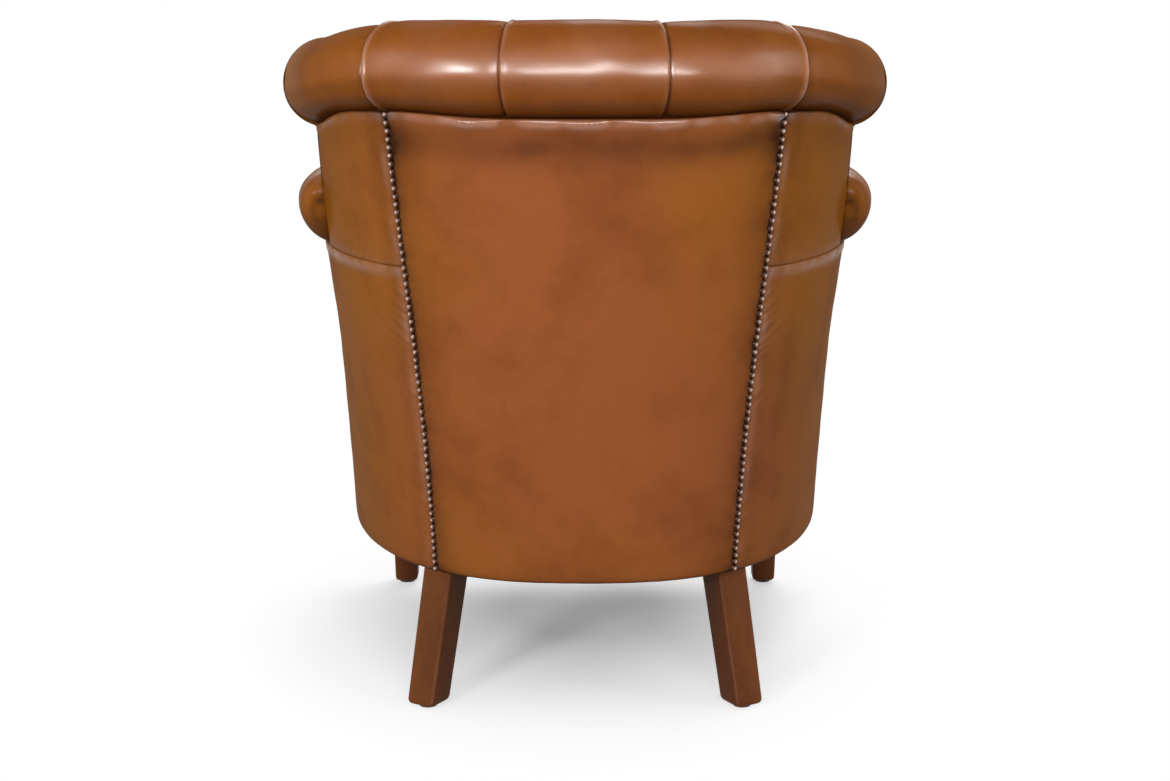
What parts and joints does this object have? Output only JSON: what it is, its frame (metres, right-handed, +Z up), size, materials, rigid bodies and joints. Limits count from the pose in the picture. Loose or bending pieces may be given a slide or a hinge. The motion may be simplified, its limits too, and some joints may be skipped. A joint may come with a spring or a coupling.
{
  "type": "chesterfield armchair",
  "caption": "Tub-backed club armchair in buttoned brown leather with rolled back and arms, nailed outside back, loose seat cushion and tapered wooden legs.",
  "frame": {"origin": "on the floor, under the middle of the chair's bounding box", "axes": "+Z up, the front of the chair faces -Y, the sitter's left is +X"},
  "size_m": [0.8038, 0.8394, 0.9027],
  "materials": {
    "leather": "hand-dyed tan brown, gloss",
    "hide": "hand-dyed brown, gloss, mottled",
    "wood": "stained red-brown, satin varnish",
    "beech": "plain planed hardwood",
    "foam": "upholstery foam and fibre",
    "cloth": "black woven lining cloth",
    "webbing": "black elastic webbing",
    "steel": "drawn spring wire",
    "brass": "antique brass, polished crowns",
    "nylon": "black moulded glide"
  },
  "bodies": {
    "chair": {"inside_back_cover": "leather", "inside_arm_cover_left": "leather", "inside_arm_cover_right": "leather", "outside_back_panel": "hide", "outside_wing_panel_left": "hide", "outside_wing_panel_right": "hide", "outside_arm_panel_left": "hide", "outside_arm_panel_right": "hide", "arm_front_facing_left": "hide", "arm_front_facing_right": "hide", "wing_front_facing_left": "hide", "wing_front_facing_right": "hide", "front_border": "hide", "rear_leg_left": "wood", "rear_leg_right": "wood", "front_leg_left": "wood", "front_leg_right": "wood", "front_seat_rail": "beech", "rear_seat_rail": "beech", "side_seat_rail_left": "beech", "side_seat_rail_right": "beech", "rear_corner_block_left": "beech", "rear_corner_block_right": "beech", "front_corner_block_left": "beech", "front_corner_block_right": "beech", "back_post_left": "beech", "back_post_right": "beech", "wing_post_left": "beech", "wing_post_right": "beech", "crest_rail": "beech", "back_tack_rail": "beech", "arm_post_left": "beech", "arm_post_right": "beech", "arm_rail_left": "beech", "arm_rail_right": "beech", "back_foam": "foam", "top_roll_core": "foam", "arm_foam_left": "foam", "arm_foam_right": "foam", "arm_roll_core_left": "foam", "arm_roll_core_right": "foam", "front_edge_roll": "foam", "seat_deck": "cloth", "dust_cover": "cloth", "back_webbing_1": "webbing", "back_webbing_2": "webbing", "back_webbing_3": "webbing", "seat_spring_1": "steel", "seat_spring_2": "steel", "seat_spring_3": "steel", "seat_spring_4": "steel", "nail_trim_left": "brass", "nail_trim_right": "brass", "rear_foot_glide_left": "nylon", "rear_foot_glide_right": "nylon", "front_foot_glide_left": "nylon", "front_foot_glide_right": "nylon"},
    "seat_cushion": {"seat_cushion_top": "leather", "seat_cushion_body": "leather", "seat_cushion_core": "foam"}
  },
  "joints": [
    {"name": "seat_cushion_lift", "type": "slide", "parent": "chair", "child": "seat_cushion", "axis": [0, 0, 1], "range_m": [0, 0.62]}
  ]
}
